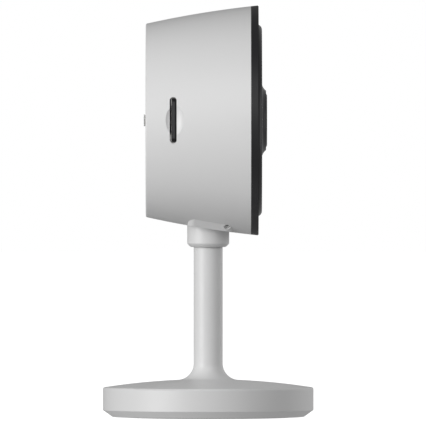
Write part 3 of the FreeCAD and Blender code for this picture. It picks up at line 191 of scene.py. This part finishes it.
# Turned aluminium, blackened: fine rings left by the tool catch the light.
turned_black, tree, shader, where = material("turned_aluminium_black", "1A1A1C", Metallic=0.6)
BANDS = 3.2                            # a wave texture of scale 1 has about 3.2 in a unit
RING_PITCH = 0.5 * MM                  # the tool's real feed is finer, but would not show
RING_DEPTH = 0.05 * MM
waves = add(tree, "ShaderNodeTexWave", {"Scale": 1 / (BANDS * RING_PITCH),
            "bands_direction": "Y", "Distortion": 0.2, "Detail": 1.0}, Vector=where)
ridges = add(tree, "ShaderNodeBump", {"Strength": 0.6, "Distance": RING_DEPTH},
             Height=waves.outputs["Fac"])
tree.links.new(ridges.outputs["Normal"], shader.inputs["Normal"])
roughen(tree, shader, where, 2.0, 0.3, 0.45)
finish(turned_black, "lens_barrel")

# Polished glass: almost invisible but for its reflections.
clear_glass, tree, shader, where = material("cover_glass_clear", "F4F8FA", IOR=1.52,
                                            Transmission_Weight=1.0)
roughen(tree, shader, where, 5.0, 0.0, 0.03)
finish(clear_glass, "lens_cover", "clear_filter")

# Coated glass: dark, with a violet sheen over blue and green.
coated_glass, tree, shader, where = material("lens_glass_coated", "20182E", IOR=1.6)
tint(tree, shader, where, 6.0, ("171530", "0E2426"))
shader.inputs["Coat Weight"].default_value = 1.0
shader.inputs["Coat Tint"].default_value = linear("B79CFF")
roughen(tree, shader, where, 4.0, 0.01, 0.05)
finish(coated_glass, "lens_front_element", "lens_rear_element")

# ---- Base plate, rubber ring and ballast -------------------------------------------------
# A grey moulded plate closes the base from below. A ring of black rubber pressed into its
# groove grips the table, and a cast iron ring above it holds the stand down.

# Moulded ABS, grey: an even, quiet matt.
grey_abs, tree, shader, where = material("moulded_abs_grey", "6E6E70")
roughen(tree, shader, where, 6.0, 0.5, 0.62)
grain(tree, shader, where, 0.3, 0.012, 0.6)
finish(grey_abs, "base_plate")

# Moulded rubber: soft and dull, with a coarse grain.
foot_rubber, tree, shader, where = material("moulded_rubber_dark", "2A2A2A")
roughen(tree, shader, where, 3.0, 0.7, 0.9)
grain(tree, shader, where, 0.4, 0.03, 0.8)
finish(foot_rubber, "foot_ring")

# Raw cast iron: rough and dark, brownish in places.
cast_iron, tree, shader, where = material("cast_iron_raw", "3A3836", Metallic=0.85)
roughen(tree, shader, where, 2.5, 0.5, 0.75)
grain(tree, shader, where, 0.9, 0.12, 1.0)
tint(tree, shader, where, 8.0, ("33312F", "47423D"))
finish(cast_iron, "ballast_weight")

# ---- Steel parts of the pole and the joint -----------------------------------------------
# The tube, knuckle, rod, bracket and most screws are zinc-plated steel. The ballast's
# screws, the spring washer and the speaker's frame are blackened steel.

# Zinc plating: a cool, bright satin that changes a little from spot to spot.
zinc_steel, tree, shader, where = material("zinc_plated_steel", "B9BBBD", Metallic=1.0)
roughen(tree, shader, where, 2.0, 0.26, 0.42)
grain(tree, shader, where, 0.35, 0.004, 0.6, (1, 1, 8))
tint(tree, shader, where, 4.0, ("B4B6B9", "C2C1BC"))
finish(zinc_steel, "pole_core", "swivel_knuckle", "tie_rod", "pan_lock_nut", "neck_bracket",
       "hinge_pin", "base_screws", "bracket_screws", "frame_screws", "holder_screws",
       "board_screws", "usb_screws")

# Blackened steel: dark, with a dull metallic sheen.
black_steel, tree, shader, where = material("blackened_steel", "3C3C3E", Metallic=1.0)
roughen(tree, shader, where, 1.5, 0.36, 0.55)
grain(tree, shader, where, 0.25, 0.006, 0.7)
finish(black_steel, "ballast_screws", "pan_spring_washer", "speaker_frame")

# ---- Card socket, memory card and power socket -------------------------------------------
# Both sockets have stamped shells of tin-plated steel, as do the radio shield and the
# microphone. The card, the insulators and the lens holder are moulded black resin.

# Tin plating: bright, with a soft waviness.
tinned_steel, tree, shader, where = material("tin_plated_steel", "D6D6D4", Metallic=1.0)
roughen(tree, shader, where, 0.9, 0.16, 0.3)
grain(tree, shader, where, 0.8, 0.008, 0.5)
finish(tinned_steel, "card_socket_shell", "usb_shell", "radio_shield", "microphone")

# Moulded resin: black and matt.
black_resin, tree, shader, where = material("moulded_resin_black", "2C2C2E")
roughen(tree, shader, where, 1.2, 0.42, 0.58)
grain(tree, shader, where, 0.12, 0.006, 0.6)
finish(black_resin, "memory_card", "card_socket_base", "usb_tongue", "inner_frame",
       "lens_holder", "filter_frame", "filter_actuator", "reset_switch_body", "reset_plunger")

# ---- Contacts of the card and the power socket -------------------------------------------
# Eight flat pads on the card's face and five sprung leaves under the socket's tongue. The
# pads are etched and the leaves stamped from copper alloy, and both are gold-plated.

# Gold plating: a warm, bright yellow with fine lines along it.
gold_plate, tree, shader, where = material("gold_plated_contact", "E2BC62", Metallic=1.0)
roughen(tree, shader, where, 0.5, 0.2, 0.34)
grain(tree, shader, where, 0.3, 0.002, 0.5, (6, 1, 1))


CRISP_SMALL_EDGE = 40                  # degrees, so that rounded edges this small look round


def new_piece(name, shape, body, made, edge_mm=0.0):
    """Turn a bmesh into a piece that rides on a body, its edges rounded if they are to be."""
    mesh = bpy.data.meshes.new(name)
    shape.normal_update()
    shape.to_mesh(mesh)
    shape.free()
    piece = bpy.data.objects.new(name, mesh)
    bpy.context.scene.collection.objects.link(piece)
    if edge_mm:
        rounded = piece.modifiers.new("rounded_edges", "BEVEL")
        rounded.width, rounded.segments = edge_mm * MM, 2
    finish(made, piece)
    smooth(piece, CRISP_SMALL_EDGE)
    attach(piece, body)
    return piece


def add_block(shape, low, high):
    """Add a box between two corners to a bmesh."""
    made = bmesh.ops.create_cube(shape, size=1.0)
    for vertex in made["verts"]:
        vertex.co = Vector(l + (c + 0.5) * (h - l) for l, h, c in zip(low, high, vertex.co))


PADS = 8
SET_BACK_PADS = (2, 5)                 # these two sit a little further from the edge
PAD_PITCH = 1.1 * MM
PAD_WIDTH = 0.75 * MM
PAD_LENGTH = 2.9 * MM
PAD_PROUD = 0.02 * MM
PAD_INSET = 0.9 * MM
PAD_SET_BACK = 0.4 * MM
CARD_THICK = 0.7 * MM                  # without the ridge that a fingernail grips
PAD_EDGE_MM = 0.015
card_low, card_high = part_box("memory_card")
face = card_high.y - CARD_THICK
shape = bmesh.new()
for i in range(PADS):
    z = (card_low.z + card_high.z) / 2 + (i - (PADS - 1) / 2) * PAD_PITCH
    x = card_high.x - PAD_INSET - (PAD_SET_BACK if i in SET_BACK_PADS else 0.0)
    add_block(shape, (x - PAD_LENGTH, face - PAD_PROUD, z - PAD_WIDTH / 2),
              (x, face + PAD_PROUD, z + PAD_WIDTH / 2))
new_piece("card_contacts", shape, "card", gold_plate, PAD_EDGE_MM)

LEAVES = 5
LEAF_PITCH = 0.65 * MM
LEAF_WIDTH = 0.26 * MM
LEAF_THICK = 0.07 * MM
LEAF_BOW = 0.16 * MM
LEAF_END_GAP = 0.25 * MM
LEAF_TONGUE_GAP = 0.005 * MM
LEAF_STEPS = 14
LEAF_CORNERS = ((-1, 0), (1, 0), (1, 1), (-1, 1))      # across, and down by its thickness
tongue_low, tongue_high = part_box("usb_tongue")
shape = bmesh.new()
for i in range(LEAVES):
    x = (tongue_low.x + tongue_high.x) / 2 + (i - (LEAVES - 1) / 2) * LEAF_PITCH
    rings = []
    for step in range(LEAF_STEPS + 1):
        share = step / LEAF_STEPS
        y = tongue_low.y + (tongue_high.y - tongue_low.y - LEAF_END_GAP) * share
        top = tongue_low.z - LEAF_BOW * math.sin(math.pi * share) ** 2 - LEAF_TONGUE_GAP
        rings.append([shape.verts.new((x + side * LEAF_WIDTH / 2, y, top - down * LEAF_THICK))
                      for side, down in LEAF_CORNERS])
    for before, after in zip(rings, rings[1:]):
        for a in range(len(LEAF_CORNERS)):
            b = (a + 1) % len(LEAF_CORNERS)
            shape.faces.new((before[a], after[a], after[b], before[b]))
    shape.faces.new(rings[0])
    shape.faces.new(reversed(rings[-1]))
new_piece("usb_contacts", shape, "head", gold_plate)

# ---- Circuit boards and chips ------------------------------------------------------------
# Glass-fibre boards under green or black solder mask. The mask is glossy, and the copper
# tracks below it show as a lighter net in faint relief.

CELL_SIZE = 1.3 * MM
TRACK_SHARE = 0.09                     # half of a track's width, in cells
TRACK_HEIGHT = 0.035 * MM


def board_material(name, mask, track):
    """Glossy solder mask over a net of tracks that stand out a little and look lighter."""
    made, tree, shader, where = material(name, mask, IOR=1.55)
    cells = add(tree, "ShaderNodeTexVoronoi", {"Scale": 1 / CELL_SIZE,
                "distance": "MANHATTAN", "feature": "DISTANCE_TO_EDGE"}, Vector=where)
    lines = add(tree, "ShaderNodeMath", {"operation": "LESS_THAN"},
                _0=cells.outputs["Distance"])
    lines.inputs[1].default_value = TRACK_SHARE
    mix = add(tree, "ShaderNodeMix", {"data_type": "RGBA"}, Factor=lines.outputs["Value"])
    mix.inputs[6].default_value, mix.inputs[7].default_value = linear(mask), linear(track)
    tree.links.new(mix.outputs[2], shader.inputs["Base Color"])
    bump = add(tree, "ShaderNodeBump", {"Strength": 0.6, "Distance": TRACK_HEIGHT},
               Height=lines.outputs["Value"])
    tree.links.new(bump.outputs["Normal"], shader.inputs["Normal"])
    roughen(tree, shader, where, 1.5, 0.25, 0.38)
    return made


finish(board_material("solder_mask_green", "0E4A26", "1B6A38"), "main_board", "sensor_board",
       "usb_board", "reset_board")
finish(board_material("solder_mask_black", "101112", "1C1D1F"), "led_board")

# Chip resin: charcoal and matt, with a sandy grain.
chip_resin, tree, shader, where = material("chip_resin_black", "1D1D1F")
roughen(tree, shader, where, 0.8, 0.48, 0.62)
grain(tree, shader, where, 0.1, 0.005, 0.6)
finish(chip_resin, "processor", "memory_chip", "image_sensor")

# ---- Lamps, light sensor, filters, ribbons, antenna and speaker cone ---------------------
# Clear and dark resins, polyimide film with copper under it, and a pressed paper cone.

# Smoky epoxy: a dark, glossy violet.
lamp_resin, tree, shader, where = material("lamp_resin_smoky", "3A2430", IOR=1.54)
roughen(tree, shader, where, 0.8, 0.08, 0.2)
finish(lamp_resin, "ir_leds")

# Clear epoxy: pale and glossy.
clear_resin, tree, shader, where = material("lamp_resin_clear", "D9DEE2", IOR=1.54)
roughen(tree, shader, where, 0.6, 0.1, 0.2)
finish(clear_resin, "status_led", "light_sensor")

# Coated glass that stops infrared light: a pinkish red.
red_glass, tree, shader, where = material("filter_glass_red", "9C4450", IOR=1.52,
                                          Transmission_Weight=0.6)
roughen(tree, shader, where, 3.0, 0.01, 0.05)
finish(red_glass, "infrared_filter")

# Polyimide film: amber, with copper strips that show through.
amber_film, tree, shader, where = material("polyimide_film_amber", "B3701C", IOR=1.6)
STRIP_PITCH = 1.0 * MM
strips = add(tree, "ShaderNodeTexWave", {"Scale": 1 / (BANDS * STRIP_PITCH),
             "bands_direction": "X", "Distortion": 0.0}, Vector=where)
mix = add(tree, "ShaderNodeMix", {"data_type": "RGBA"}, Factor=strips.outputs["Fac"])
mix.inputs[6].default_value, mix.inputs[7].default_value = linear("9A5A14"), linear("C98A3A")
tree.links.new(mix.outputs[2], shader.inputs["Base Color"])
roughen(tree, shader, where, 2.0, 0.2, 0.32)
finish(amber_film, "sensor_ribbon", "usb_ribbon", "wifi_antenna")

# Sheath of the lead: black, with a slight sheen.
lead_sheath, tree, shader, where = material("lead_sheath_black", "1A1A1A")
roughen(tree, shader, where, 1.0, 0.42, 0.58)
grain(tree, shader, where, 0.3, 0.01, 0.5)
finish(lead_sheath, "antenna_cable")

# Pressed paper: dull and fibrous.
cone_paper, tree, shader, where = material("pressed_paper_dark", "202020")
roughen(tree, shader, where, 0.8, 0.75, 0.95)
grain(tree, shader, where, 0.35, 0.04, 0.9, (1, 1, 3))
finish(cone_paper, "speaker_cone")

# ---- Speaker cloth -----------------------------------------------------------------------
# A disc of black polyester gauze between the speaker's rim and the back wall. It keeps dust
# out and shows as a fine dark weave in the grille's holes.

# Woven polyester: black and dull, with a faint bloom at grazing angles.
gauze, tree, shader, where = material("woven_polyester_black", "17171A", Sheen_Weight=0.15)
roughen(tree, shader, where, 1.0, 0.7, 0.9)
grain(tree, shader, where, 0.12, 0.01, 0.8)

THREAD_SPACING = 0.5 * MM              # a real thread is finer, but would not show
WEAVE_DEPTH = 0.012 * MM
GAUZE_THICK = 0.03 * MM
GAUZE_INSET = 0.15 * MM
GAUZE_GAP = 0.05 * MM
GAUZE_GRID = 96
rim_low, rim_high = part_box("speaker_frame")
gauze_radius = (rim_high.x - rim_low.x) / 2 - GAUZE_INSET
middle = (rim_low + rim_high) / 2
shape = bmesh.new()
bmesh.ops.create_grid(shape, x_segments=GAUZE_GRID, y_segments=GAUZE_GRID, size=gauze_radius)
outside = [v for v in shape.verts if v.co.length > gauze_radius]
bmesh.ops.delete(shape, geom=outside, context="VERTS")
for vertex in shape.verts:
    across, along = vertex.co.x, vertex.co.y
    lift = WEAVE_DEPTH * math.prod(math.sin(math.pi * way / THREAD_SPACING)
                                   for way in (across, along))
    vertex.co = (middle.x + across, rim_high.y + GAUZE_GAP + lift, middle.z + along)
speaker_cloth = new_piece("speaker_cloth", shape, "head", gauze)
thickness = speaker_cloth.modifiers.new("gauze_thickness", "SOLIDIFY")
thickness.thickness, thickness.offset = GAUZE_THICK, 0.0

# ---- Chip capacitors ---------------------------------------------------------------------
# Ceramic capacitors in rows beside the processor: a tan body between two tinned ends, each
# soldered flat on the main board.

# Fired ceramic: a smooth, matt tan.
ceramic_tan, tree, shader, where = material("fired_ceramic_tan", "8A6A4C")
roughen(tree, shader, where, 0.4, 0.42, 0.6)
grain(tree, shader, where, 0.08, 0.004, 0.6)

CAPACITOR_LENGTH = 1.6 * MM
CAPACITOR_WIDTH = 0.8 * MM
CAPACITOR_HEIGHT = 0.7 * MM
END_LENGTH = 0.35 * MM
BODY_INSET = 0.04 * MM                 # the body is a little thinner than its soldered ends
COLUMNS = 6
COLUMN_PITCH = 2.3 * MM
FIRST_COLUMN = 0.6 * MM
ROW_GAP = 1.8 * MM
BARE_COLUMNS = (2, 3)                  # the upper row has a gap in its middle
BODY_EDGE_MM = 0.04
END_EDGE_MM = 0.06
chip_low, chip_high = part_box("processor")
bodies, ends = bmesh.new(), bmesh.new()
front, back = chip_high.y - CAPACITOR_HEIGHT, chip_high.y
for upper, z in enumerate((chip_low.z - ROW_GAP, chip_high.z + ROW_GAP)):
    bottom, top = z - CAPACITOR_WIDTH / 2, z + CAPACITOR_WIDTH / 2
    for i in range(COLUMNS):
        if upper and i in BARE_COLUMNS:
            continue
        x = chip_low.x + FIRST_COLUMN + i * COLUMN_PITCH
        last_end = x + CAPACITOR_LENGTH - END_LENGTH
        add_block(bodies, (x + END_LENGTH, front + BODY_INSET, bottom + BODY_INSET),
                  (last_end, back, top - BODY_INSET))
        for start in (x, last_end):
            add_block(ends, (start, front, bottom), (start + END_LENGTH, back, top))
new_piece("capacitor_bodies", bodies, "head", ceramic_tan, BODY_EDGE_MM)
new_piece("capacitor_ends", ends, "head", tinned_steel, END_EDGE_MM)

# ---- Rounded faces of every CAD piece ----------------------------------------------------
# Turned and moulded faces are truly round, so their facets are shaded smooth, and their
# real edges stay crisp.

for cad_node in nodes.values():
    smooth(cad_node)

# ---- Table top ---------------------------------------------------------------------------
# White opal acrylic, lit through from below, as on a light table. It glows evenly, so it
# looks plain white, and its light on the camera comes from the lamp under it.

TABLE_REACH = 40                       # half its width, in diagonals of the camera's box
TABLE_GAP = 0.02 * MM
low, high = cad_box
reach = TABLE_REACH * (high - low).length
floor_mesh = bpy.data.meshes.new("table_top")
floor_corners = [(x * reach, y * reach, 0) for x, y in ((-1, -1), (1, -1), (1, 1), (-1, 1))]
floor_mesh.from_pydata(floor_corners, [], [range(len(floor_corners))])
table_top = bpy.data.objects.new("table_top", floor_mesh)
bpy.context.scene.collection.objects.link(table_top)
table_top.location.z = low.z - TABLE_GAP
table_top.visible_diffuse = table_top.visible_glossy = table_top.visible_shadow = False
# Opal acrylic: matt and evenly bright.
lit_acrylic, tree, shader, where = material("lit_acrylic_white", "F0F0F0",
                                            Emission_Strength=0.8)
shader.inputs["Emission Color"].default_value = (1, 1, 1, 1)
roughen(tree, shader, where, 40.0, 0.85, 0.95)
floor_mesh.materials.append(lit_acrylic)

# ---- Lamps and surround ------------------------------------------------------------------
# A broad key lamp towards the back cover, a near one above the card slot, a narrow one
# beyond the lens side for a bright rim, one under the table for its glow, and a small near
# one in front that puts a soft light on the lens boss.


def soft_lamp(name, strength, size, away, turn, rise, aim):
    """Square lamp, turned from straight in front of the card slot towards the back cover
    and raised, both in degrees. Its strength is the light that it gives where it aims."""
    turn, rise = math.radians(turn), math.radians(rise)
    way = Vector((-math.cos(turn) * math.cos(rise), math.sin(turn) * math.cos(rise),
                  math.sin(rise)))
    lamp = bpy.data.lights.new(name, "AREA")
    lamp.energy, lamp.size = strength * math.pi**2 * away**2, size
    made = bpy.data.objects.new(name, lamp)
    made.location = aim + way * away
    made.rotation_euler = (-way).to_track_quat("-Z", "Y").to_euler()
    bpy.context.scene.collection.objects.link(made)
    return made


centre = (low + high) / 2
head_centre = Vector((0, 0, 89 * MM))
soft_lamp("key_lamp", strength=0.62, size=0.55, away=1.0, turn=53, rise=8, aim=centre)
soft_lamp("near_lamp", strength=0.24, size=0.16, away=0.26, turn=0, rise=24, aim=head_centre)
rim_lamp = soft_lamp("rim_lamp", strength=0.42, size=0.25, away=1.0, turn=-134, rise=6,
                     aim=centre)
rim_lamp.visible_glossy = False
soft_lamp("under_lamp", strength=0.18, size=0.6, away=0.6, turn=0, rise=-89, aim=centre)
soft_lamp("front_lamp", strength=0.085, size=0.14, away=0.2, turn=-80, rise=0,
          aim=head_centre)

# The surround looks plain white, but lights the camera only weakly.
SURROUND_SEEN = 1.0
SURROUND_LIGHT = 0.26
world = bpy.data.worlds.new("white_surround")
world.use_nodes = True
background = world.node_tree.nodes["Background"]
background.inputs["Color"].default_value = (1, 1, 1, 1)
rays = add(world.node_tree, "ShaderNodeLightPath")
glow = add(world.node_tree, "ShaderNodeMapRange", {"To Min": SURROUND_LIGHT,
           "To Max": SURROUND_SEEN}, Value=rays.outputs["Is Camera Ray"])
world.node_tree.links.new(glow.outputs["Result"], background.inputs["Strength"])
bpy.context.scene.world = world

# ---- Viewpoint ---------------------------------------------------------------------------
# A long lens, nearly level with the middle of the camera and square to the card slot's
# side, so that the outline shows with almost no perspective.

FRAME_HEIGHT = 127.8 * MM
LENS_LENGTH = 1200.0                   # millimetres, as is the sensor's width
SENSOR_WIDTH = 36.0
ELEVATION = 0.3
aim = Vector((0, -1.44 * MM, 61.3 * MM))
distance = FRAME_HEIGHT * LENS_LENGTH / SENSOR_WIDTH
lens = bpy.data.cameras.new("viewpoint")
lens.lens, lens.sensor_width = LENS_LENGTH, SENSOR_WIDTH
lens.clip_start, lens.clip_end = 0.1, 100.0            # metres
viewpoint = bpy.data.objects.new("viewpoint", lens)
rise = distance * math.tan(math.radians(ELEVATION))
viewpoint.location = aim + Vector((-distance, 0, rise))
viewpoint.rotation_euler = (aim - viewpoint.location).to_track_quat("-Z", "Y").to_euler()
bpy.context.scene.collection.objects.link(viewpoint)
bpy.context.scene.camera = viewpoint

bpy.context.scene.view_settings.view_transform = "Standard"
